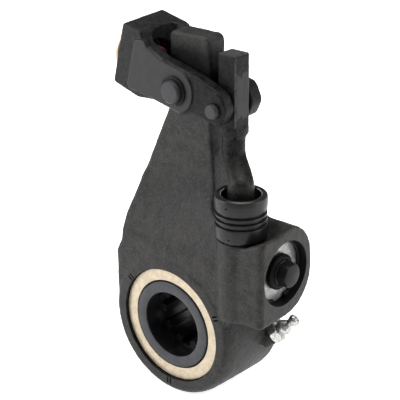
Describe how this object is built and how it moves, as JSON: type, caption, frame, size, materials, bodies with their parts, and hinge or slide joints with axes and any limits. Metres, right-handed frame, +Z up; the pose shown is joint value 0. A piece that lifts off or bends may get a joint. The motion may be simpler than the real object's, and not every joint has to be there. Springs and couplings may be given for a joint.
{
  "type": "brake slack adjuster",
  "caption": "Automatic brake slack adjuster: cast lever body with a splined worm wheel, side worm lobe with a hex, rubber boot, link and tilted clevis.",
  "frame": {"origin": "centre of the camshaft bore at mid width", "axes": "+Z up along the lever arm, +X towards the adjusting hex, -Y out of the front face"},
  "size_m": [0.1173, 0.0488, 0.2138],
  "materials": {
    "cast_iron": "rough as-cast skin, dark warm grey",
    "black_steel": "black phosphated forging",
    "gold_zinc": "pale gold zinc plate",
    "gear_steel": "machined and hardened, oiled",
    "plain_steel": "machined steel",
    "bright_zinc": "bright zinc plate",
    "bronze": "plain bearing bronze",
    "rubber": "black moulded rubber",
    "red_plastic": "moulded protective plug"
  },
  "bodies": {
    "body": {"housing": "cast_iron", "arm_bushing": "bronze", "front_ring": "gold_zinc", "rear_ring": "gold_zinc", "front_oring": "rubber", "rear_oring": "rubber", "worm_bushing": "bronze", "thrust_bearing": "bronze", "end_plate": "plain_steel", "retaining_clip": "plain_steel", "worm_seal": "rubber", "rack_plug": "plain_steel", "rod_guide": "plain_steel", "boot": "rubber", "grease_fitting": "bright_zinc"},
    "wheel": {"worm_wheel": "gear_steel"},
    "worm": {"worm_shaft": "black_steel", "worm_sleeve": "gear_steel", "clutch_spring": "plain_steel"},
    "pinion": {"pinion": "gear_steel", "clutch_hub": "gear_steel"},
    "rack": {"rack": "gear_steel", "link_retainer": "plain_steel"},
    "clevis": {"clevis": "black_steel", "clevis_pin": "plain_steel", "clevis_pin_clip": "plain_steel", "small_pin": "plain_steel", "small_pin_washer": "plain_steel", "small_pin_cotter": "bright_zinc"},
    "link": {"link": "black_steel", "link_bushing": "bronze"},
    "collar": {"clevis_collar": "gold_zinc", "collar_plug": "red_plastic"},
    "check_ball": {"grease_ball": "plain_steel"}
  },
  "joints": [
    {"name": "worm_spin", "type": "hinge", "parent": "body", "child": "worm", "pos_m": [0, 0, 0.0462], "axis": [1, 0, 0], "continuous": true},
    {"name": "wheel_spin", "type": "hinge", "parent": "body", "child": "wheel", "pos_m": [0, 0, 0], "axis": [0, 1, 0], "continuous": true},
    {"name": "clevis_pivot", "type": "hinge", "parent": "body", "child": "clevis", "pos_m": [0, 0, 0.1397], "axis": [0, 1, 0], "range_deg": [-13, 13]},
    {"name": "link_swing", "type": "hinge", "parent": "clevis", "child": "link", "pos_m": [0.0269, 0, 0.13398], "axis": [0, 1, 0], "range_deg": [-14.5, 14.5]},
    {"name": "rack_slide", "type": "slide", "parent": "body", "child": "rack", "axis": [0, 0, 1], "range_m": [-0.006, 0.006]},
    {"name": "pinion_spin", "type": "hinge", "parent": "body", "child": "pinion", "pos_m": [0, 0, 0.0462], "axis": [1, 0, 0], "range_deg": [-42, 42]},
    {"name": "collar_spin", "type": "hinge", "parent": "clevis", "child": "collar", "pos_m": [0.00089, 0, 0.14391], "axis": [-0.9781, 0, 0.2079], "continuous": true},
    {"name": "ball_slide", "type": "slide", "parent": "body", "child": "check_ball", "axis": [-0.6786, -0.499, -0.5389], "range_m": [0, 0.0009], "stiffness_N_per_m": 200, "springref_m": -0.001}
  ],
  "couplings": [
    {"joint": "wheel_spin", "follows": "worm_spin", "ratio": -0.038462},
    {"joint": "link_swing", "follows": "clevis_pivot", "ratio": -1.0888},
    {"joint": "rack_slide", "follows": "clevis_pivot", "m_per_rad": -0.02552},
    {"joint": "pinion_spin", "follows": "clevis_pivot", "ratio": 3.19}
  ]
}
